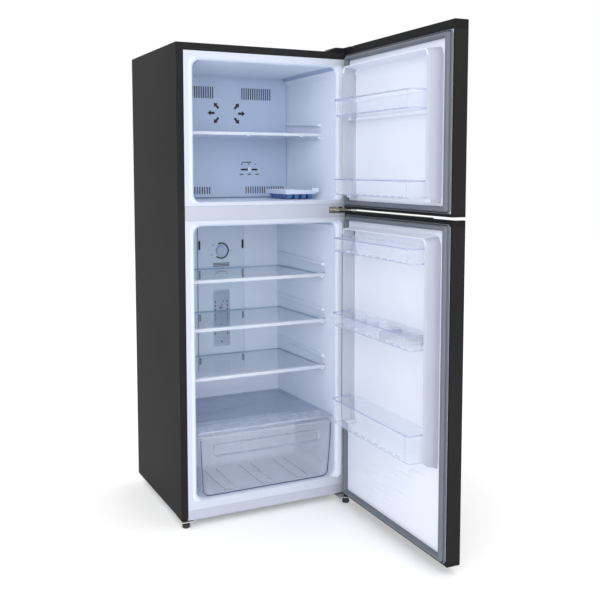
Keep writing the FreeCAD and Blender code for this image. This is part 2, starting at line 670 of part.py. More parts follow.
def build_bins():
    wall = "bin_wall"
    back = f"{BACK} + 1"
    for name, low, high in BINS:
        half = f"{name.split('_')[0]}_bin_half"
        outside = loft(Z, (low, around(f"{half} - 4"), (back, "bin_front - 8"), 8),
                       (high, around(half), (back, "bin_front"), 10))
        inside = loft(Z, (f"{low} + 2.6", around(f"{half} - 4 - {wall}"),
                          (f"{back} + {wall}", f"bin_front - 8 - {wall}"), 6),
                      (f"{high} + 1", around(f"{half} - {wall}"),
                       (f"{back} + {wall}", f"bin_front - {wall}"), 8))
        node(name, cut(outside, inside), frame=DOOR)
    cups = [cylinder(Z, (-190 + 46 * k, y), 18, (620, 646)) for k in range(5) for y in (4, 44)]
    tray = slab(Z, (624, 634), (-214, 20), (-9, 60), 6)
    node("egg_tray", cut(tray, *cups), frame=DOOR)


# ---------------------------------------------------------------- make, centre, check, write

def check():
    for obj in doc.Objects:
        if {"Invalid", "Error"} & set(obj.State):
            raise RuntimeError(f"{obj.Label} failed: {obj.State}")
    for name, group in nodes.items():
        shape = group.Shape
        if shape.isNull() or not shape.isValid() or not shape.Solids:
            raise RuntimeError(f"{name} has no valid solid")


def centre_frame():
    """Puts the origin under the middle of the whole object's box."""
    box = FreeCAD.BoundBox()
    for group in nodes.values():
        box.add(group.Shape.optimalBoundingBox(False))
    dims.set("frame_x", str(round(-(box.XMin + box.XMax) / 2, 3)))
    dims.set("frame_y", str(round(-(box.YMin + box.YMax) / 2, 3)))
    doc.recompute()


for build in (build_shell, build_liners, build_freezer_fittings, build_fridge_fittings,
              build_machine, build_hinges, build_doors, build_bins):
    build()
doc.recompute()
check()
centre_frame()
check()
os.makedirs("parts", exist_ok=True)
for name, group in nodes.items():
    group.Shape.exportStep(f"parts/{name}.step")
print(len(nodes), "nodes", dims.get("frame_x"), dims.get("frame_y"))
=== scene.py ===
"""Looks of the top freezer refrigerator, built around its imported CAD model."""
import json
import math

import bmesh
import bpy
from mathutils import Matrix, Vector


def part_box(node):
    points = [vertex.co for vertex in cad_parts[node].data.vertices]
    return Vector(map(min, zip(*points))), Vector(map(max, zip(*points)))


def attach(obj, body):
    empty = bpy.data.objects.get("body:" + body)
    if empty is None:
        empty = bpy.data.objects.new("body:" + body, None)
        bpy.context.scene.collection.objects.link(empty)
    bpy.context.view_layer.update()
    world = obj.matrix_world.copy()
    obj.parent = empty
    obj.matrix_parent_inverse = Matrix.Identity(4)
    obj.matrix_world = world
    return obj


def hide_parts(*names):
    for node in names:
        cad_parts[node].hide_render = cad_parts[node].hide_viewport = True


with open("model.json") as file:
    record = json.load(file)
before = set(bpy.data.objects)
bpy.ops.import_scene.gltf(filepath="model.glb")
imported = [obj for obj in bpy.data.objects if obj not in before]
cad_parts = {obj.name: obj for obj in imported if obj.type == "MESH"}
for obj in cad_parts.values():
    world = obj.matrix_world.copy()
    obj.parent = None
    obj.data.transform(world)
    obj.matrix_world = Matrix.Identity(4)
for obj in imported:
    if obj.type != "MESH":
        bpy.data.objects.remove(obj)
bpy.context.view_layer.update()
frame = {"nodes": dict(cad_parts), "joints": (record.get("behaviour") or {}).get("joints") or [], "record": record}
nodes = frame["nodes"]

MM = 0.001
TAU = 2 * math.pi

# Drawing axes: x = 0 at the cabinet's middle, y = 0 at its front face, z = 0 on the floor, in mm.
shell_low, shell_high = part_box("outer_wrap")
CABINET = Matrix.Translation(((shell_low.x + shell_high.x) / 2, shell_low.y, 0))
hinge_joint = next(j for j in frame["joints"] if j["name"] == "fridge_door_hinge")
pivot = Vector(hinge_joint["pos_m"])
pivot.z = 0
rest_turn = math.radians(-hinge_joint["range_deg"][0])
# The same axes turned with the doors, so that door pieces are drawn shut.
turned = Matrix.Translation(pivot) @ Matrix.Rotation(rest_turn, 4, "Z") @ Matrix.Translation(-pivot)
DOOR = turned @ CABINET


# ---------------------------------------------------------------- materials

class Graph:
    """A short way to write a node material."""

    def __init__(self, name):
        self.material = bpy.data.materials.new(name)
        self.material.use_nodes = True
        self.tree = self.material.node_tree
        self.shader = self.tree.nodes["Principled BSDF"]

    def add(self, kind, inputs=(), **settings):
        node = self.tree.nodes.new("ShaderNode" + kind)
        for key, value in settings.items():
            setattr(node, key, value)
        for key, value in dict(inputs).items():
            self.put(node.inputs[key], value)
        return node

    def put(self, socket, value):
        if isinstance(value, bpy.types.NodeSocket):
            self.tree.links.new(value, socket)
        else:
            socket.default_value = value

    def set(self, **values):
        for key, value in values.items():
            self.put(self.shader.inputs[key.replace("_", " ")], value)

    def place(self, scale=(1, 1, 1)):
        """Object coordinates in metres, stretched."""
        where = self.add("TexCoord").outputs["Object"]
        return self.add("Mapping", {"Vector": where, "Scale": scale}).outputs["Vector"]

    def noise(self, scale, detail=3, stretch=(1, 1, 1), roughness=0.5):
        texture = self.add("TexNoise", {"Vector": self.place(stretch), "Scale": scale,
                                        "Detail": detail, "Roughness": roughness})
        return texture.outputs["Fac"]

    def ramp(self, value, *stops):
        node = self.add("ValToRGB", {"Fac": value})
        ramp = node.color_ramp
        while len(ramp.elements) < len(stops):
            ramp.elements.new(0.5)
        for element, (position, colour) in zip(ramp.elements, stops):
            element.position = position
            element.color = (*colour, 1)
        return node.outputs["Color"]

    def span(self, value, low, high):
        return self.add("MapRange", {"Value": value, "To Min": low, "To Max": high}).outputs["Result"]

    def bump(self, height, strength, distance):
        node = self.add("Bump", {"Height": height, "Strength": strength, "Distance": distance})
        self.set(Normal=node.outputs["Normal"])


def tint(colour, factor):
    return tuple(min(1, c * factor) for c in colour)


def moulded(name, colour, roughness=0.35, grain=900, bump=0.12, spread=0.05, **more):
    """Moulded plastic or rubber: faint mottling, a fine skin texture and uneven gloss."""
    g = Graph(name)
    dull, lit = tint(colour, 1 - spread), tint(colour, 1 + spread)
    g.set(Base_Color=g.ramp(g.noise(9, 4), (0.25, dull), (0.75, lit)),
          Roughness=g.span(g.noise(28, 4), roughness * 0.85, roughness * 1.2), **more)
    g.bump(g.noise(grain, 2), bump, 0.0002)
    return g.material


def brushed(name, colour, roughness, metallic, stretch, spread=0.12, bump=0.15, **more):
    """Metal or coated metal with a directional grain."""
    g = Graph(name)
    grain = g.noise(60, 5, stretch, 0.65)
    cloud = g.noise(2.2, 3)
    mixed = g.add("Mix", {"Factor": 0.7, "A": cloud, "B": grain}, data_type="FLOAT").outputs["Result"]
    g.set(Base_Color=g.ramp(mixed, (0.3, tint(colour, 1 - spread)), (0.7, tint(colour, 1 + spread))),
          Roughness=g.span(grain, roughness * 0.85, roughness * 1.2), Metallic=metallic, **more)
    g.bump(grain, bump, 0.0003)
    return g.material


def spangled(name, colour):
    """Zinc coated sheet with its crystals."""
    g = Graph(name)
    crystals = g.add("TexVoronoi", {"Vector": g.place(), "Scale": 70}, feature="F1")
    value = g.add("SeparateColor", {"Color": crystals.outputs["Color"]}).outputs["Red"]
    g.set(Base_Color=g.ramp(value, (0, tint(colour, 0.88)), (1, tint(colour, 1.1))),
          Roughness=g.span(value, 0.32, 0.5), Metallic=0.85)
    g.bump(g.noise(200, 3), 0.1, 0.0002)
    return g.material


def clear(name, face, edge, alpha, edge_alpha, roughness=0.08):
    """Thin clear plastic or glass: seen through head-on and denser along its edges."""
    g = Graph(name)
    rim = g.add("LayerWeight", {"Blend": 0.45}).outputs["Facing"]
    g.set(Base_Color=g.ramp(g.noise(14, 4), (0.3, face), (0.7, edge)),
          Alpha=g.span(rim, alpha, edge_alpha),
          Roughness=g.span(g.noise(35, 3), roughness * 0.6, roughness * 1.6), IOR=1.49)
    g.bump(g.noise(120, 2), 0.05, 0.0003)
    g.material.surface_render_method = "BLENDED"
    return g.material


WHITE = (0.74, 0.81, 0.94)
white = moulded("white_liner", WHITE, 0.32, 500, 0.06, 0.015, Coat_Weight=0.15)
door_white = moulded("white_door_liner", (0.78, 0.82, 0.93), 0.35, 500, 0.06, 0.015, Coat_Weight=0.15)
# White plastic darkened with painted shade, for the freezer's rear cover and its surround; the dial's knob and
# grip share it.
cover_white_painted_shade = moulded("white_cover_painted_shade", (0.50, 0.60, 0.77), 0.4, 700, 0.08, 0.015)
duct_white = moulded("duct_cover", (0.64, 0.74, 0.86), 0.4, 700, 0.08, 0.015)
glass_edge = clear("glass_edge", (0.44, 0.62, 0.82), (0.36, 0.54, 0.75), 0.5, 0.8, 0.1)
tray_white = moulded("white_tray", (0.66, 0.74, 0.88), 0.3, 700, 0.08, 0.015)
rail_white = moulded("white_rail", (0.46, 0.49, 0.58), 0.35, 500, 0.06, 0.02)
charcoal = brushed("charcoal_steel", (0.021, 0.021, 0.022), 0.5, 0, (30, 30, 0.4), 0.4, 0.1,
                   Specular_IOR_Level=0.03)
door_steel = brushed("charcoal_door", (0.017, 0.017, 0.017), 0.5, 0, (30, 30, 0.4), 0.4, 0.1,
                     Specular_IOR_Level=0.05)
cap_black = moulded("black_cap", (0.011, 0.011, 0.012), 0.5, 1400, 0.25, 0.12, Specular_IOR_Level=0.08)
rubber = moulded("gasket_rubber", (0.125, 0.145, 0.175), 0.6, 700, 0.2, 0.06)
foam = moulded("cut_foam", (0.72, 0.60, 0.34), 0.9, 500, 0.9, 0.12)
zinc = spangled("zinc_sheet", (0.52, 0.54, 0.56))
bright = brushed("bright_steel", (0.62, 0.61, 0.58), 0.24, 1, (1, 1, 8), 0.12, 0.08)
alloy = brushed("bare_aluminium", (0.66, 0.67, 0.68), 0.36, 1, (8, 1, 1), 0.1, 0.08)
enamel = moulded("black_enamel", (0.015, 0.015, 0.016), 0.28, 260, 0.25, 0.2)
black_rubber = moulded("black_rubber", (0.02, 0.02, 0.02), 0.7, 600, 0.3, 0.15)
foot_black = moulded("black_foot", (0.02, 0.02, 0.022), 0.5, 900, 0.3, 0.15)
grey = moulded("grey_plastic", (0.12, 0.12, 0.13), 0.45, 900, 0.2, 0.08)
blue = moulded("blue_cups", (0.11, 0.25, 0.60), 0.22, 300, 0.08, 0.1, Transmission_Weight=0.25)
# A darker copy of the door liner's white: painted shade on the dyke's faces that look towards the door's free
# edge.
dyke_painted_shade = moulded("door_liner_painted_shade", (0.42, 0.45, 0.54), 0.4, 500, 0.06, 0.02)
dark_blue = moulded("dark_blue", (0.03, 0.05, 0.22), 0.35, 600, 0.1, 0.05)
# Black for print and the light board's chips, and painted shade: the floor of the seal's groove and the backs
# behind the duct cover's slots.
print_black_and_painted_shade = moulded("black_print_and_painted_shade", (0.012, 0.012, 0.014), 0.5, 900, 0.05, 0.05)
# Painted shade: dark bars behind the rear cover's grilles and in the seams beside the duct cover.
vent_painted_shade = moulded("vent_painted_shade", (0.05, 0.06, 0.09), 0.7, 700, 0.1, 0.1)
lamp_grey = moulded("lamp_backing", (0.50, 0.58, 0.74), 0.5, 700, 0.1, 0.2)
clear_plastic = clear("clear_plastic", (0.80, 0.86, 0.97), (0.72, 0.78, 0.93), 0.08, 0.42)
clear_edge = clear("clear_plastic_edge", (0.46, 0.48, 0.70), (0.38, 0.40, 0.62), 0.34, 0.70)
soft_edge = clear("soft_edge", (0.56, 0.60, 0.78), (0.48, 0.52, 0.72), 0.24, 0.5)
# Painted highlight: bright strips on the crisper drawer.
painted_glint_white = clear("painted_highlight", (0.95, 0.96, 1.0), (0.90, 0.93, 1.0), 0.75, 0.95)
cover_strip = clear("cover_strip", (0.72, 0.78, 0.92), (0.66, 0.72, 0.88), 0.36, 0.62, 0.25)
# Painted shade: a darker copy of the liner white for the front lips of the liners.
painted_lip_shade = moulded("liner_lip_painted_shade", (0.56, 0.60, 0.70), 0.35, 500, 0.06, 0.015)
# Painted shade under the side ledges of the liners.
ledge_painted_shade = moulded("ledge_painted_shade", (0.34, 0.44, 0.62), 0.4, 500, 0.06, 0.03)
violet_edge = clear("violet_edge", (0.10, 0.09, 0.25), (0.08, 0.07, 0.20), 0.82, 0.95)
drawer_plastic = clear("drawer_plastic", (0.80, 0.85, 0.95), (0.72, 0.77, 0.90), 0.10, 0.42)
shelf_glass = clear("shelf_glass", (0.60, 0.72, 0.84), (0.48, 0.60, 0.76), 0.05, 0.30, 0.04)
frosted = clear("frosted_plastic", (0.50, 0.60, 0.80), (0.44, 0.54, 0.76), 0.18, 0.48, 0.3)
trim_plastic = clear("trim_plastic", (0.86, 0.90, 0.97), (0.74, 0.80, 0.92), 0.62, 0.92, 0.14)
lamp_clear = clear("lamp_clear", (0.72, 0.80, 0.92), (0.62, 0.70, 0.84), 0.12, 0.45, 0.1)

FINISHES = {
    "painted_steel": charcoal, "galvanised_steel": zinc, "white_plastic": white, "foam": foam,
    "grey_plastic": cap_black, "gasket_rubber": rubber, "clear_plastic": clear_plastic,
    "shelf_glass": shelf_glass, "frosted_plastic": frosted, "ice_plastic": blue,
    "hinge_steel": bright, "aluminium": alloy, "black_steel": enamel, "mount_rubber": black_rubber,
    "lens_plastic": lamp_clear, "foot_plastic": foot_black,
}
OWN_FINISHES = {
    "mullion_rail": rail_white, "bottom_rail": rail_white, "evaporator_cover": cover_white_painted_shade,
    "air_duct_cover": duct_white, "freezer_door_liner": door_white, "fridge_door_liner": door_white,
    "freezer_door_skin": door_steel, "fridge_door_skin": door_steel, "fan_blade": grey,
    "crisper_drawer": drawer_plastic, "freezer_shelf": trim_plastic,
    "upper_shelf_trim": trim_plastic, "middle_shelf_trim": trim_plastic,
    "lower_shelf_trim": trim_plastic,
}


def paint(obj, material):
    obj.data.materials.clear()
    obj.data.materials.append(material)


for part in frame["record"]["subparts"]:
    name = part["node"]
    paint(nodes[name], OWN_FINISHES.get(name) or FINISHES[part["material_slot"]])


# ---------------------------------------------------------------- mesh building

def loop(axis, at, a, b, radius, arc=6):
    """Points round a rounded rectangle that lies across an axis."""
    centres = [(a[1] - radius, b[0] + radius), (a[1] - radius, b[1] - radius),
               (a[0] + radius, b[1] - radius), (a[0] + radius, b[0] + radius)]
    points = []
    for quarter, (p, q) in enumerate(centres):
        for step in range(arc + 1):
            angle = math.radians(90 * (quarter - 1 + step / arc))
            points.append((p + radius * math.cos(angle), q + radius * math.sin(angle)))
    if axis == "y":
        return [Vector((p, at, q)) for p, q in points]
    return [Vector((p, q, at)) for p, q in points]


def circle(radius, centre=(0, 0), count=24):
    """Points round a circle, as pairs."""
    turns = [TAU * k / count for k in range(count)]
    return [(centre[0] + radius * math.cos(t), centre[1] + radius * math.sin(t)) for t in turns]


def rows_of(mesh, loops):
    """The vertices of each loop, as one row per loop."""
    return [[mesh.verts.new(point) for point in points] for points in loops]


def bridge(mesh, rows, closed=False, ring=True):
    """Quads between neighbouring rows; closed joins the last row to the first, ring each row's ends."""
    for low, high in zip(rows, rows[1:] + rows[:1] if closed else rows[1:]):
        for k in range(len(low) if ring else len(low) - 1):
            j = (k + 1) % len(low)
            mesh.faces.new((low[k], low[j], high[j], high[k]))


def outward(mesh):
    """Turns every face's normal away from the solid that it bounds."""
    bmesh.ops.recalc_face_normals(mesh, faces=mesh.faces)


def skinned(name, loops, material, closed=False, caps=2, where=CABINET, smooth=40):
    """A mesh through loops of equal length: both ends capped, only the first, or joined up."""
    mesh = bmesh.new()
    rows = rows_of(mesh, loops)
    bridge(mesh, rows, closed)
    if not closed:
        mesh.faces.new(rows[0])
        if caps == 2:
            mesh.faces.new(reversed(rows[-1]))
    outward(mesh)
    return placed(name, mesh, material, where, smooth)


def placed(name, mesh, material, where=CABINET, smooth=40):
    """Turns a bmesh drawn in mm into an object in the row frame."""
    data = bpy.data.meshes.new(name)
    mesh.to_mesh(data)
    mesh.free()
    data.transform(where @ Matrix.Scale(MM, 4))
    data.materials.append(material)
    obj = bpy.data.objects.new(name, data)
    bpy.context.scene.collection.objects.link(obj)
    shade(obj, smooth)
    return obj


def shade(obj, angle):
    """Smooth shading that keeps edges sharper than the angle, in degrees."""
    data = obj.data
    data.shade_smooth()
    data.set_sharp_from_angle(angle=math.radians(angle))


def softened(obj, width):
    """Rounds the sharp edges by a width in mm."""
    bevel = obj.modifiers.new("Edges", "BEVEL")
    bevel.width = width * MM
    bevel.segments = 2
    bevel.limit_method = "ANGLE"
    bevel.angle_limit = math.radians(35)
    bevel.harden_normals = False


def bar(mesh, x, y, z):
    """A box in a bmesh, from its span along each axis."""
    corners = [mesh.verts.new((x[i], y[j], z[k])) for k in (0, 1) for j in (0, 1) for i in (0, 1)]
    for face in ((0, 2, 3, 1), (4, 5, 7, 6), (0, 1, 5, 4), (2, 6, 7, 3), (0, 4, 6, 2), (1, 3, 7, 5)):
        mesh.faces.new([corners[k] for k in face])


def bars(name, boxes, material, where=CABINET, bevel=1.0):
    """One object made of several boxes."""
    mesh = bmesh.new()
    for box in boxes:
        bar(mesh, *box)
    obj = placed(name, mesh, material, where)
    if bevel:
        softened(obj, bevel)
    return obj


def give(obj, body, slot_name, *stands_for):
    """Says which body carries a piece and hides the CAD nodes that it replaces; the slot name is not used."""
    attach(obj, body)
    if stands_for:
        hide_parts(*stands_for)


def front_of(name):
    """Where a cabinet piece's front lies on the drawing's y axis, in mm."""
    return (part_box(name)[0].y - CABINET.translation.y) / MM


# ---------------------------------------------------------------- edges of the CAD pieces

SOFT_EDGES = {
    "evaporator_cover": 1.2, "air_duct_cover": 1.2, "mullion_rail": 0.8, "bottom_rail": 0.8,
    "freezer_shelf": 1.0, "upper_shelf_trim": 1.5, "middle_shelf_trim": 1.5, "lower_shelf_trim": 1.5,
    "top_hinge_cover": 2.0, "middle_hinge": 0.5, "bottom_hinge": 0.5, "crisper_cover": 0.8,
    "freezer_door_top_cap": 1.5, "freezer_door_bottom_cap": 1.5, "fridge_door_top_cap": 1.5,
    "fridge_door_bottom_cap": 1.5, "left_foot_bracket": 0.5, "temperature_dial": 1.0,
    "airflow_slider": 0.8, "compressor": 3.0, "cord_gland": 0.8, "outer_wrap": 0.3,
}
for name, width in SOFT_EDGES.items():
    shade(nodes[name], 30)
    softened(nodes[name], width)
for name in nodes:
    if name not in SOFT_EDGES:
        shade(nodes[name], 25)


# Material slots of a liner's painted shade, on its front lip and under its side ledges, and where its side ledges
# lie (their faces in square metres).
LIP_PAINTED_SHADE, LEDGE_PAINTED_SHADE = 1, 2
LEDGE_INNER_X = 205
LEDGE_FRONT_Y = 80
LEDGE_AREA = 0.006


def paint_liner(name):
    """Gives the liner's front lip and the undersides of its side ledges painted shade: darker copies of the white.
    """
    liner = nodes[name]
    liner.data.materials.append(painted_lip_shade)
    liner.data.materials.append(ledge_painted_shade)
    in_row = liner.matrix_world
    turn = in_row.to_3x3()
    for face in liner.data.polygons:
        middle = CABINET.inverted() @ (in_row @ face.center) / MM
        facing = (turn @ face.normal).normalized()
        beside = abs(middle.x) > LEDGE_INNER_X and middle.y > LEDGE_FRONT_Y
        if facing.y < -0.9 and middle.y < 1:
            face.material_index = LIP_PAINTED_SHADE
        elif facing.z < -0.7 and beside and face.area < LEDGE_AREA:
            face.material_index = LEDGE_PAINTED_SHADE


for name in ("freezer_liner", "fridge_liner"):
    paint_liner(name)


# ---------------------------------------------------------------- door gaskets and liners

# The door liner's flat plate, and each piece's lowest and highest level, in mm.
DOOR_BACK = -14.5
FLOORS = {name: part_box(name)[0].z / MM for name in nodes}
TOPS = {name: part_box(name)[1].z / MM for name in nodes}

# Seal sections: inset from the seal's outline, and y.
SEAL_HALF = 291.5
SEAL_SECTION = [(0, DOOR_BACK), (0, -11), (0.6, -10), (2, -9.8), (2.5, -13.6), (4.6, -13.6), (5.2, -8),
                (6.4, -3.4), (8.4, -1.6), (11, -0.9), (15.4, -0.8), (17.8, -1.6), (19.6, -4), (20.6, -8),
                (21, DOOR_BACK)]
# Section of the black strip of painted shade on the groove's floor: inset and y.
GROOVE_SECTION = [(2.7, -13.5), (2.7, -12.8), (4.4, -12.8), (4.4, -13.5)]


def seal_loop(low, high, inset, y, radius):
    """A loop round the door at one inset; the seal is a little narrower above and below."""
    across = (inset - SEAL_HALF, SEAL_HALF - inset)
    return loop("y", y, across, (low + inset * 0.93, high - inset * 0.9), radius)


def build_gasket(door):
    """A rubber seal: fixing lip, groove and a soft rounded bellows, with a black strip of painted shade on the
    groove's floor.
    """
    low, high = FLOORS[f"{door}_door_gasket"], TOPS[f"{door}_door_gasket"]
    loops = [seal_loop(low, high, inset, y, max(3, 9 - inset * 0.2)) for inset, y in SEAL_SECTION]
    seal = skinned(f"{door}_seal", loops, rubber, closed=True, where=DOOR, smooth=35)
    give(seal, f"{door}_door", "gasket_rubber", f"{door}_door_gasket")
    # Painted shade: a black strip lies on the groove's floor.
    floor = [seal_loop(low, high, inset, y, 8) for inset, y in GROOVE_SECTION]
    groove = skinned(f"{door}_seal_groove", floor, print_black_and_painted_shade, closed=True, where=DOOR)
    give(groove, f"{door}_door", "gasket_rubber")


CORNER_STEPS = 10


def dyke_path(half, low, high, radius):
    """An upside-down U: up one side, round two corners, down the other side."""
    path = [(-half, low)]
    for centre_x, start in ((-half + radius, 180), (half - radius, 90)):
        for step in range(CORNER_STEPS + 1):
            angle = math.radians(start - 90 * step / CORNER_STEPS)
            path.append((centre_x + radius * math.cos(angle), high - radius + radius * math.sin(angle)))
    path.append((half, low))
    return path


# The dyke's section is inset and height above the plate; its ends taper as level and height.
DYKE_HALF = 251
DYKE_SECTION = [(0, 0), (1.2, 1.5), (3, 8), (8, 34), (9.2, 40), (11, 43.2), (13, 44.2), (15, 43.2),
                (16, 40), (17, 34), (20.5, 9), (22, 3), (24.5, 0.8), (28, 0)]
END_TAPER = [(0, 0.0), (3, 0.34), (7, 0.62), (12, 0.84), (18, 0.96), (26, 1.0)]
SUNK = 0.3


def build_dyke(mesh, low, high):
    """The raised frame that carries the bins and plugs the compartment's mouth."""
    rows = []
    for inset, height in DYKE_SECTION:
        outline = dyke_path(DYKE_HALF - inset, low, high - inset * 0.62, max(4, 20 - inset * 0.2))
        left, right = outline[0], outline[-1]
        ends = [(left[0], low + rise) for rise, _ in END_TAPER]
        lifts = [taper for _, taper in END_TAPER]
        points = ends + outline[1:-1] + [(right[0], z) for _, z in reversed(ends)]
        scales = lifts + [1] * (len(outline) - 2) + lifts[::-1]
        rows.append([mesh.verts.new((x, DOOR_BACK - SUNK + height * scale, z))
                     for (x, z), scale in zip(points, scales)])
    bridge(mesh, rows, closed=True, ring=False)
    for end in (0, -1):
        mesh.faces.new([row[end] for row in rows])


SWELL_HEIGHT = 2.4
SWELL_WIDTH = 22
SWELL_SLOPE = 0.06
SWELL_RINGS = 8
SWELL_SIDES = 32


def build_swell(mesh, x, z, length):
    """A long soft bump embossed in the door's liner."""
    base = DOOR_BACK - 0.2
    loops = []
    for ring in range(SWELL_RINGS):
        climb = ring / SWELL_RINGS * math.pi / 2
        reach, out = math.cos(climb), SWELL_HEIGHT * math.sin(climb)
        ellipse = [(p * length / 2, q * SWELL_WIDTH / 2) for p, q in circle(reach, count=SWELL_SIDES)]
        loops.append([(x + p, base + out, z + q - SWELL_SLOPE * p) for p, q in ellipse])
    rows = rows_of(mesh, loops)
    bridge(mesh, rows)
    crown = mesh.verts.new((x, base + SWELL_HEIGHT, z))
    for k in range(SWELL_SIDES):
        mesh.faces.new((rows[-1][k], rows[-1][(k + 1) % SWELL_SIDES], crown))
    mesh.faces.new(reversed(rows[0]))


# Each bin's door and half its width.
BINS = {
    "freezer_upper_bin": ("freezer", 223), "freezer_lower_bin": ("freezer", 223),
    "fridge_upper_bin": ("fridge", 228), "fridge_middle_bin": ("fridge", 228),
    "fridge_lower_bin": ("fridge", 228),
}
# The height at which each door's raised frame starts and ends.
DYKES = {"freezer": (1017, 1433), "fridge": (286, 928)}
# Soft bumps low on the tall door: x, z and length.
EMBOSSED = [(62, 112, 210), (-30, 142, 190), (104, 152, 130), (53, 182, 150), (-72, 208, 150),
            (-149, 236, 90)]
PLATE_HALF = 292.4
# Faces smaller than this, in square metres, keep the plain tone, without the painted shade.
SMALLEST_SHADED = 1e-5
LUGS_X = ((-236, -212), (212, 236))
LUG_DEPTH = (DOOR_BACK - 0.5, 12)
LUG_GAP = 0.5


def build_door_liner(door):
    """Flat plate, raised dyke, bin lugs and, low on the tall door, soft embossed ribs."""
    low, high = FLOORS[f"{door}_door_liner"], TOPS[f"{door}_door_liner"]
    mesh = bmesh.new()
    bar(mesh, (-PLATE_HALF, PLATE_HALF), (DOOR_BACK - 2, DOOR_BACK), (low, high))
    build_dyke(mesh, *DYKES[door])
    for name, (own, _) in BINS.items():
        if own == door:
            top = FLOORS[name] - LUG_GAP
            for x in LUGS_X:
                bar(mesh, x, LUG_DEPTH, (top - 8, top))
            if name == "freezer_upper_bin":
                bar(mesh, (-226, 226), (DOOR_BACK - 0.5, -5), (top - 9, top))
    if door == "fridge":
        for swell in EMBOSSED:
            build_swell(mesh, *swell)
    outward(mesh)
    liner = placed(f"{door}_inner_panel", mesh, door_white, DOOR, 50)
    give(liner, f"{door}_door", "white_plastic", f"{door}_door_liner")
    # Painted shade: the dyke's faces that look towards the free edge get the darker copy of the white.
    free_edge = (DOOR.to_3x3() @ Vector((-1, 0, 0))).normalized()
    edge_faces(liner, dyke_painted_shade,
               lambda face: face.normal.dot(free_edge) > 0.3 and face.area > SMALLEST_SHADED)
    softened(liner, 0.8)


# ---------------------------------------------------------------- clear bins and drawer

def edge_faces(obj, material, test):
    """Gives the faces that pass the test a second material."""
    obj.data.materials.append(material)
    for face in obj.data.polygons:
        if test(face):
            face.material_index = 1


BIN_FRONT, BIN_BACK = 72, -13.5
BIN_WALL = 2.2
BIN_RIM, BIN_FOOT = 4, 4.5
SLACK = 0.1
FLAT_STEP = 0.4 * MM


def build_bin(name, half):
    """A clear tub in one sheet with a thick rim, and the ribs moulded in it."""
    low, high = FLOORS[name], TOPS[name]

    def ring_at(z, lean, radius, inset=0.0):
        return loop("z", z, (-half + lean + inset, half - lean - inset),
                    (BIN_BACK + inset, BIN_FRONT - 2 * lean - inset), radius - inset, arc=5)

    outer = [(low, 4, 14), (low + 1.4, 2.8, 16), (low + BIN_FOOT, 2.2, 17), (high - BIN_RIM, 0.8, 18),
             (high - 3, 0, 18), (high - 0.8, 0, 18), (high, 0.6, 18)]
    loops = [ring_at(*row) for row in outer]
    loops += [ring_at(z, lean, 18, BIN_WALL) for z, lean in ((high, 0.2), (high - BIN_RIM, 0.8))]
    tub = skinned(f"{name}_tub", loops, clear_plastic, caps=1, where=DOOR, smooth=35)
    points = tub.data.vertices
    rim = (high - BIN_RIM - SLACK) * MM
    base = (low + BIN_FOOT + SLACK) * MM
    shut = DOOR.inverted()

    def is_edge(face):
        heights = [points[k].co.z for k in face.vertices]
        if (shut @ face.center).y < 0:
            return False
        return min(heights) > rim or max(heights) < base and max(heights) - min(heights) > FLAT_STEP

    edge_faces(tub, clear_edge, is_edge)
    give(tub, name, "clear_plastic", name)
    ribs = [((x, x + 1.6), (BIN_FRONT - 8.6, BIN_FRONT - 5), (low + 4, high - 5))
            for x in (-half + 22, half - 24)]
    ribs += [((x, x + 1.6), (BIN_BACK + 3, BIN_BACK + 14), (low + 3, high - 4))
             for x in (-half + 4, half - 6)]
    ribs += [((x, x + 24), (BIN_FRONT - 14, BIN_FRONT - 12), (low + 2.4, low + 6))
             for x in range(-170, 160, 40)]
    if name == "fridge_middle_bin":
        divider = (low + 2.4, low + 0.7 * (high - low))
        ribs += [((x, x + 2), (BIN_BACK + 4, BIN_FRONT - 8), divider) for x in (-60, 66, 140)]
    give(bars(f"{name}_ribs", ribs, soft_edge, DOOR, 0.4), name, "clear_plastic")


# The sheet's section is level and inset; the cup's is radius and level.
EGG_SHEET = [(0, 0), (0.3, 0), (22, 1), (23.6, 1), (23.6, 2.6), (22, 2.6)]
EGG_CUP = [(15.8, 1.8), (15.4, 8), (17, 14), (19.5, 17), (18.2, 17)]
EGG_FIRST_X, EGG_PITCH = -191, 44
EGG_ROWS_Y = (8, 43)


def build_egg_tray():
    """Two rows of round cups pressed in one clear sheet."""
    low = FLOORS["egg_tray"]
    mesh = bmesh.new()
    sheet = [loop("z", low + z, (-214 + i, 20 - i), (-9 + i, 60 - i), 6) for z, i in EGG_SHEET]
    rows = rows_of(mesh, sheet)
    bridge(mesh, rows)
    mesh.faces.new(rows[0])
    for column in range(5):
        for y in EGG_ROWS_Y:
            centre = (EGG_FIRST_X + EGG_PITCH * column, y)
            cup = rows_of(mesh, [[(p, q, low + z) for p, q in circle(r, centre, 20)] for r, z in EGG_CUP])
            bridge(mesh, cup)
            mesh.faces.new(cup[0])
    outward(mesh)
    tray = placed("egg_holder", mesh, clear_plastic, DOOR)
    give(tray, "fridge_middle_bin", "clear_plastic", "egg_tray")


DRAWER_FRONT, DRAWER_BACK = 13, 292
GRIP_Z = (205, 246)
PAD_LEFTS = (-140, -12, 116)
PAD_WIDTH = 42
PAD_LINE = 1.4
FRONT_LEAN = 0.034


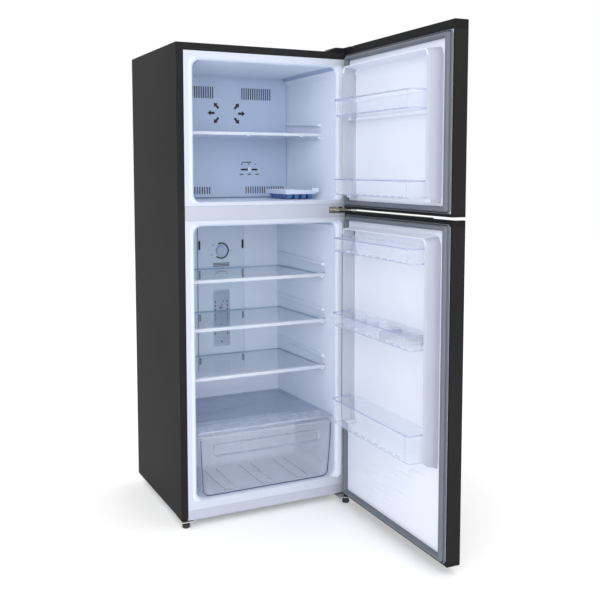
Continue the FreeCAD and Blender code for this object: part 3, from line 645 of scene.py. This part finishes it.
def build_drawer():
    """The crisper: a clear front plate with a long grip, a tub behind it and ribbed floor."""
    low, high = FLOORS["crisper_drawer"], TOPS["crisper_drawer"]

    def ring_at(z, half, front, back, inset=0.0):
        return loop("z", z, (-half + inset, half - inset),
                    (DRAWER_FRONT + front + inset, DRAWER_BACK - back - inset), 16 - inset, arc=8)

    outline = [(low, 202, 9, 24), (low + 3, 208, 8, 20), (low + 9, 216, 6.5, 15), (low + 17, 221, 6, 12),
               (high - 9, 231, 1.4, 1.4), (high - 8, 232, 0, 0), (high, 232, 0, 0)]
    outer = [ring_at(*row) for row in outline]
    inner = [ring_at(z, 231, 0, 0, 2.5) for z in (high, high - 9)]
    tub = skinned("crisper_tub", outer + inner, drawer_plastic, caps=1, smooth=35)
    give(tub, "crisper_drawer", "clear_plastic", "crisper_drawer")

    recess = [loop("y", y, (-186 + i, 186 - i), (GRIP_Z[0] + i, GRIP_Z[1] - i), 5, arc=5)
              for y, i in ((14.2, 0), (14.0, 1.6), (31, 3.6), (32.5, 2.2))]
    give(skinned("crisper_grip", recess, soft_edge, closed=True), "crisper_drawer", "clear_plastic")

    # shine collects painted highlights: bright strips at the floor pads' ends and at the grip's right end.
    pads, shine = [], []
    for x in PAD_LEFTS:
        for left in (x, x + PAD_WIDTH):
            pads.append(((left, left + PAD_LINE), (42, 236), (low + 3, low + 7)))
        pads.append(((x, x + PAD_WIDTH + PAD_LINE), (42, 43.6), (low + 3, low + 7)))
        shine.append(((x + 43, x + 44.2), (41, 43), (low + 7, low + 8.6)))
        shine.append(((x + 22, x + 44), (40.6, 41.6), (low + 6.4, low + 7.6)))
    give(bars("crisper_floor_ribs", pads, soft_edge, CABINET, 0.5), "crisper_drawer", "clear_plastic")
    shine += [((184, 185.4), (14.4, 15.6), (214, 242)), ((172, 186), (14.2, 15.2), (242, 243.2))]
    give(bars("crisper_highlights", shine, painted_glint_white, CABINET, 0.3), "crisper_drawer", "clear_plastic")

    side = [(230.6, high - 10), (228, 200), (221, low + 17), (217, low + 9.5), (209, low + 3.4),
            (200, low + 1.2)]
    path = [(-x, z) for x, z in side] + [(0, low + 1.2)] + side[::-1]
    mesh = bmesh.new()
    strip(mesh, path, 19.4, 22, 2.2)
    give(placed("crisper_front_edge", mesh, violet_edge), "crisper_drawer", "clear_plastic")


def strip(mesh, path, front, back, width):
    """A flat band that follows a path in the x-z plane and leans forwards as it rises."""
    foot = path[len(path) // 2][1]
    loops = []
    for k, (x, z) in enumerate(path):
        before, after = path[max(0, k - 1)], path[min(len(path) - 1, k + 1)]
        along = Vector((after[0] - before[0], 0, after[1] - before[1])).normalized()
        inward = Vector((-along.z, 0, along.x)) * width
        lean = (z - foot) * FRONT_LEAN
        loops.append([Vector((x, y - lean, z)) + inward * s
                      for y, s in ((front, 0), (back, 0), (back, 1), (front, 1))])
    rows = rows_of(mesh, loops)
    bridge(mesh, rows)
    mesh.faces.new(rows[0])
    mesh.faces.new(reversed(rows[-1]))
    outward(mesh)


TRAY_X, TRAY_Y = (104, 224), (96, 276)
CUP_COLUMNS, CUP_LINES = 4, 6
CUP_FIRST_X, CUP_FIRST_Y = 126, 119
CUP_PITCH_X, CUP_PITCH_Y = 25, 26


def build_ice_tray():
    """A white rimmed frame with hollow blue cups hanging below it."""
    low, high = FLOORS["ice_tray"], TOPS["ice_tray"]
    section = [(14, 3), (2, 0.6), (0.4, 0.4), (0, 1), (0.4, 2.4), (8, 3.4), (9.5, 5), (10.8, 5)]
    rim = [loop("z", high - drop, (TRAY_X[0] + i, TRAY_X[1] - i), (TRAY_Y[0] + i, TRAY_Y[1] - i),
                10 - 0.5 * i, arc=5) for drop, i in section]
    give(skinned("ice_tray_frame", rim, tray_white), "ice_tray", "ice_plastic", "ice_tray")

    levels = [(high - 9.6, 10.4, 11.2), (low + 3, 7.6, 8.4), (low + 1, 6.2, 7.0), (low + 0.4, 4, 5)]
    mesh = bmesh.new()
    for column in range(CUP_COLUMNS):
        for line in range(CUP_LINES):
            x, y = CUP_FIRST_X + CUP_PITCH_X * column, CUP_FIRST_Y + CUP_PITCH_Y * line
            rows = rows_of(mesh, [loop("z", z, (x - a, x + a), (y - b, y + b), 3, arc=3)
                                  for z, a, b in levels])
            bridge(mesh, rows)
            mesh.faces.new(rows[0])
            mesh.faces.new(reversed(rows[-1]))
    outward(mesh)
    give(placed("ice_tray_cups", mesh, blue), "ice_tray", "ice_plastic")
    handle = [((196, 222), (90, 97), (high - 8, high - 6)), ((196, 222), (89, 91), (high - 8, high + 6))]
    give(bars("ice_tray_handle", handle, tray_white, bevel=0.8), "ice_tray", "ice_plastic")


# ---------------------------------------------------------------- prints, dial, shelves

ARROW_LENGTH = 26
ARROW_HALF = 9.5
ARROWS_Z = 1301
CROSS_Z = 1126
PRINT_DEPTH = 0.25


def arrow(mesh, tip, direction, face):
    """A flat arrow printed on an upright face; the direction is in the x-z plane."""
    along = Vector((direction[0], 0, direction[1])).normalized()
    side = Vector((-along.z, 0, along.x))
    head, shaft = 0.46 * ARROW_LENGTH, 0.42 * ARROW_HALF
    outline = [(0, 0), (head, ARROW_HALF), (head, shaft), (ARROW_LENGTH, shaft),
               (ARROW_LENGTH, -shaft), (head, -shaft), (head, -ARROW_HALF)]
    rows = rows_of(mesh, [[Vector((tip[0], y, tip[1])) - along * back + side * out for back, out in outline]
                          for y in (face - PRINT_DEPTH, face)])
    mesh.faces.new(rows[0])
    mesh.faces.new(reversed(rows[1]))
    bridge(mesh, rows)


def build_prints():
    """Arrows round the air outlets and the marks beside the slider."""
    face = front_of("evaporator_cover")
    depth = (face - PRINT_DEPTH, face)
    mesh = bmesh.new()
    arrow(mesh, (-74, ARROWS_Z), (-1, 0), face)
    arrow(mesh, (65, ARROWS_Z), (1, 0), face)
    for side in (-1, 1):
        for up in (-1, 1):
            arrow(mesh, (side * 47 - 4, ARROWS_Z + up * 35), (side, up * 1.1), face)
    for x in (44, 74, 104):
        bar(mesh, (x, x + 13), depth, (1088.5, 1092))
    for k, x in enumerate((48, 76, 102)):
        half = 4 - k
        bar(mesh, (x, x + 2 * half), depth, (CROSS_Z - 1, CROSS_Z + 1))
        bar(mesh, (x + half - 1, x + half + 1), depth, (CROSS_Z - half, CROSS_Z + half))
    bar(mesh, (52, 88), depth, (1131, 1134))
    outward(mesh)
    give(placed("air_flow_marks", mesh, print_black_and_painted_shade), "cabinet", "grey_plastic")


DIAL_Z = 817
ARC_Z = 716
ARC_STEPS = 36
DIAL_PRINT = 0.3


def sector(mesh, z, radii, turns, face):
    """A flat arc printed round a centre at x = 0, between two radii and two angles in degrees."""
    inner, outer = radii
    start, stop = turns
    loops = []
    for k in range(ARC_STEPS + 1):
        angle = math.radians(start + (stop - start) * k / ARC_STEPS)
        loops.append([(r * math.cos(angle), y, z + r * math.sin(angle)) for r, y in
                      ((inner, face - DIAL_PRINT), (inner, face), (outer, face), (outer, face - DIAL_PRINT))])
    rows = rows_of(mesh, loops)
    bridge(mesh, rows)
    for row in (rows[0], rows[-1]):
        mesh.faces.new(row)
    outward(mesh)


def knob_ring(radius, y):
    """A ring of the dial's knob, ribbed where it is wide enough to be gripped."""
    rib = 0.02 if radius > 18 else 0
    return [Vector((p * (1 + rib * (k % 2)), y, DIAL_Z + q * (1 + rib * (k % 2))))
            for k, (p, q) in enumerate(circle(radius, count=48))]


def build_dial():
    """The knob with its grip, the scale printed round it and the arc below it."""
    face = front_of("air_duct_cover")
    marks = bmesh.new()
    sector(marks, DIAL_Z, (24.5, 29.5), (-132, 116), face)
    for x, z in ((32, 816), (38, 816), (-36, 803), (-42, 803), (-30, 838), (-36, 838)):
        bar(marks, (x, x + 4), (face - DIAL_PRINT, face), (z - 0.8, z + 0.8))
    give(placed("dial_marks", marks, print_black_and_painted_shade), "cabinet", "grey_plastic")
    arc = bmesh.new()
    sector(arc, ARC_Z, (26, 28.2), (24, 156), face)
    give(placed("duct_arc", arc, grey), "cabinet", "grey_plastic")
    section = [(19.6, 421.6), (20, 420), (19.4, 411), (18.6, 410), (12, 409.7)]
    knob = skinned("dial_knob", [knob_ring(radius, y) for radius, y in section], cover_white_painted_shade)
    give(knob, "temperature_dial", "white_plastic", "temperature_dial")
    grip = [((-2.6, 2.6), (407.2, 410.5), (DIAL_Z - 17, DIAL_Z + 17))]
    give(bars("dial_grip", grip, cover_white_painted_shade, bevel=1.4), "temperature_dial", "white_plastic")


# The slots down each side of the duct cover, from the bottom to the top of each.
DUCT_SLOTS = [(823, 854), (717, 747), (566, 591), (410, 433)]
# The dark bar of painted shade in the seam beside the duct cover, and how far behind the cover's face the dark
# backs of painted shade end.
SEAM_NEAR, SEAM_FAR = 88.6, 89.4
HOLLOW_BACK = 3.4


def build_vent_backs():
    """Dark backs behind the slots of the duct cover and the freezer's rear cover, and in the seams beside the duct
    cover: painted shade in the hollows and gaps.
    """
    duct = front_of("air_duct_cover")
    holes = [(sorted((side * 79, side * 86.6)), (duct - 0.25, duct + HOLLOW_BACK), (low - 0.5, high + 0.5))
             for side in (-1, 1) for low, high in DUCT_SLOTS]
    seams = [(sorted((side * SEAM_NEAR, side * SEAM_FAR)), (duct + 2.6, duct + 3.6), (380, 914))
             for side in (-1, 1)]
    give(bars("duct_seams", seams, vent_painted_shade, bevel=0), "cabinet", "grey_plastic")
    holes.append(((-32, 32), (duct + 2.4, duct + HOLLOW_BACK), (759, 774)))
    give(bars("duct_hollows", holes, print_black_and_painted_shade, bevel=0), "cabinet", "grey_plastic")
    cover = front_of("evaporator_cover")
    grilles = [(sorted((side * near, side * far)), (cover + 3, cover + 4), z) for side in (-1, 1)
               for near, far, z in ((50, 168, (1349, 1391)), (64, 220, (1022, 1048)))]
    give(bars("cover_hollows", grilles, vent_painted_shade, bevel=0), "cabinet", "grey_plastic")
    rim = [loop("y", cover + y, (-225 - i, 225 + i), (1012 - low, 1418 + i), 24 + i)
           for y, i, low in ((3, 0, 0), (3, 12, 2), (6, 12, 2), (6, 0, 0))]
    give(skinned("cover_surround", rim, cover_white_painted_shade, closed=True), "cabinet", "white_plastic")


BOARD_FRONT = 424.4
CHIP_PITCH = 62


def build_lamp():
    """A clear lens with the light board behind it."""
    lens_loops = [loop("y", y, (-31.5 + i, 31.5 - i), (470 + i, 676 - i), 5)
                  for y, i in ((421.9, 0), (420.4, 0.2), (419.7, 1.2))]
    give(skinned("lamp_window", lens_loops, lamp_clear), "cabinet", "lens_plastic", "lamp_lens")
    board = [((-27, 27), (BOARD_FRONT, BOARD_FRONT + 1.2), (477, 669))]
    give(bars("lamp_backing", board, lamp_grey, bevel=0.3), "cabinet", "lens_plastic")
    tall, thin = (BOARD_FRONT - 1.2, BOARD_FRONT), (BOARD_FRONT - 1, BOARD_FRONT)
    chips = [((-4, 4), tall, (484 + CHIP_PITCH * k, 489 + CHIP_PITCH * k)) for k in range(4)]
    chips += [((x, x + 5), thin, (z, z + 7)) for x in (-26, 21)
              for z in (512, 526, 566, 580, 600, 614, 628)]
    chips += [((-8 + 6 * k, -4 + 6 * k), thin, (606 + 11 * k, 614 + 11 * k)) for k in range(3)]
    give(bars("lamp_chips", chips, print_black_and_painted_shade, bevel=0.2), "cabinet", "grey_plastic")


def slant(mesh, start, end, width, z):
    """A thin upright band between two points in plan."""
    corners = [mesh.verts.new((x + out, y, level)) for level in z
               for out in (0, -width) for x, y in (start, end)]
    for face in ((0, 1, 3, 2), (4, 6, 7, 5), (0, 4, 5, 1), (2, 3, 7, 6), (0, 2, 6, 4), (1, 5, 7, 3)):
        mesh.faces.new([corners[k] for k in face])


GLASS_FRONT, GLASS_BACK = (237, 90), (223.6, 418)


def build_shelf_details():
    """Stops with a blue dot at each glass shelf's front corners, and the glass's tinted edges."""
    for shelf in ("upper", "middle", "lower"):
        level = TOPS[f"{shelf}_glass_shelf"] + 1
        stops = [((x, x + 12), (76, 90), (level - 12, level - 6.8)) for x in (-236, 224)]
        give(bars(f"{shelf}_shelf_stops", stops, white, bevel=1.0), f"{shelf}_shelf", "white_plastic")
        edges = bmesh.new()
        thick = (level - 5.2, level - 0.8)
        bar(edges, (-224, 224), (415, 418.2), thick)
        for side in (-1, 1):
            start, end = ((side * x, y) for x, y in (GLASS_FRONT, GLASS_BACK))
            slant(edges, start, end, side * 1.6, thick)
        outward(edges)
        give(placed(f"{shelf}_shelf_edges", edges, glass_edge), f"{shelf}_shelf", "shelf_glass")
        dots = bmesh.new()
        for x in (-236.5, 236.5):
            turn = Matrix.Translation((x, 80, level + 3.4)) @ Matrix.Diagonal((2.2, 3.2, 1.6, 1))
            bmesh.ops.create_icosphere(dots, subdivisions=2, radius=1, matrix=turn)
        give(placed(f"{shelf}_shelf_dots", dots, dark_blue), f"{shelf}_shelf", "grey_plastic")


def build_crisper_cover():
    """The frosted cover: raised front strip, fine cross lines and a folded rear edge."""
    high = TOPS["crisper_cover"]
    front = [((-228, 228), (24, 92), (high - 0.2, high + 0.6)),
             ((-229, 229), (21, 22.4), (high - 5, high + 0.4))]
    give(bars("crisper_cover_front", front, cover_strip, bevel=0.5), "crisper_cover", "frosted_plastic")
    strips = [((-224, 224), (256, 259), (high - 2.5, high - 0.4)),
              ((-231, 231), (96, 98), (high - 2.5, high - 0.2)),
              ((-214, 214), (408, 411), (high - 2.5, high + 4))]
    give(bars("crisper_cover_strips", strips, frosted, bevel=0.5), "crisper_cover", "frosted_plastic")


def screw_head(mesh, loops):
    """A turned head, from the loop on its seat to the one in its recess."""
    rows = rows_of(mesh, loops)
    bridge(mesh, rows)
    mesh.faces.new(rows[-1])
    mesh.faces.new(reversed(rows[0]))


# The middle hinge's second and third screws sit this much above its first one.
SCREW_STEP = 5.7


def build_screws():
    """Round heads with a recess: three face forwards on the middle hinge, three up on the top one."""
    mesh = bmesh.new()
    low, high = FLOORS["hinge_screws"], TOPS["hinge_screws"]
    middle = low + 4
    facing_front = [(4, -2), (3.9, -3.2), (3, -4.2), (1.6, -4.4), (1.3, -3.4)]
    for centre in ((222, middle), (244, middle + SCREW_STEP), (266, middle + SCREW_STEP)):
        screw_head(mesh, [[(p, y, q) for p, q in circle(r, centre)] for r, y in facing_front])
    facing_up = [(4.5, high - 2.5), (4.3, high - 0.8), (2.6, high), (1.2, high - 1)]
    for centre in ((256, 20), (286, 28), (268, 48)):
        screw_head(mesh, [[(p, q, z) for p, q in circle(r, centre)] for r, z in facing_up])
    outward(mesh)
    give(placed("screw_heads", mesh, bright), "cabinet", "hinge_steel", "hinge_screws")


for door in ("freezer", "fridge"):
    build_gasket(door)
    build_door_liner(door)
for name, (_, half) in BINS.items():
    build_bin(name, half)
build_egg_tray()
build_drawer()
build_ice_tray()
build_prints()
build_dial()
build_vent_backs()
build_lamp()
build_shelf_details()
build_crisper_cover()
build_screws()


# ---------------------------------------------------------------- stage, light, camera

FLOOR_SIZE = 9000


def build_stage():
    """A pale floor that glows just enough to stay white."""
    mesh = bmesh.new()
    bmesh.ops.create_grid(mesh, x_segments=2, y_segments=2, size=FLOOR_SIZE)
    g = Graph("pale_floor")
    g.set(Base_Color=g.ramp(g.noise(1.5, 3), (0.2, (0.95, 0.95, 0.955)), (0.8, (0.97, 0.97, 0.97))),
          Roughness=g.span(g.noise(6, 3), 0.6, 0.75), Emission_Color=(1, 1, 1, 1), Emission_Strength=0.12)
    floor = placed("floor", mesh, g.material)


LAMP_TARGET = Vector((0, 0.2, 0.8))


def lamp(name, spot, size, power):
    """A square soft light that faces the middle of the cabinet."""
    light = bpy.data.lights.new(name, "AREA")
    light.shape = "RECTANGLE"
    light.size = light.size_y = size
    light.energy = power
    obj = bpy.data.objects.new(name, light)
    obj.location = spot
    obj.rotation_euler = (LAMP_TARGET - obj.location).to_track_quat("-Z", "Y").to_euler()
    bpy.context.scene.collection.objects.link(obj)


def build_lights():
    """A white surround and three soft lamps."""
    world = bpy.data.worlds.new("studio")
    world.use_nodes = True
    surround = world.node_tree.nodes["Background"]
    surround.inputs["Color"].default_value = (1, 1, 1, 1)
    surround.inputs["Strength"].default_value = 1.0
    bpy.context.scene.world = world
    lamp("key", (-2.2, -3.4, 2.4), 2.4, 45)
    lamp("front", (-0.2, -3.8, 1.5), 2.4, 22)
    lamp("top", (0, 0.2, 3.6), 2.5, 10)


CAMERA_SPOT = (-1114.58, -2479.23, 1105.9)
CAMERA_PITCH, CAMERA_TURN = 84.97, -26.24


def build_camera():
    """A camera to the left of the open doors, at the height of the freezer, tipped down a little."""
    camera = bpy.data.cameras.new("camera")
    camera.sensor_width = 36
    camera.lens = 51.93
    camera.shift_y = -0.09
    camera.clip_end = 100
    obj = bpy.data.objects.new("camera", camera)
    obj.location = CABINET @ (Vector(CAMERA_SPOT) * MM)
    obj.rotation_euler = (math.radians(CAMERA_PITCH), 0, math.radians(CAMERA_TURN))
    bpy.context.scene.collection.objects.link(obj)
    bpy.context.scene.camera = obj


bpy.context.scene.view_settings.view_transform = "Standard"
build_stage()
build_lights()
build_camera()
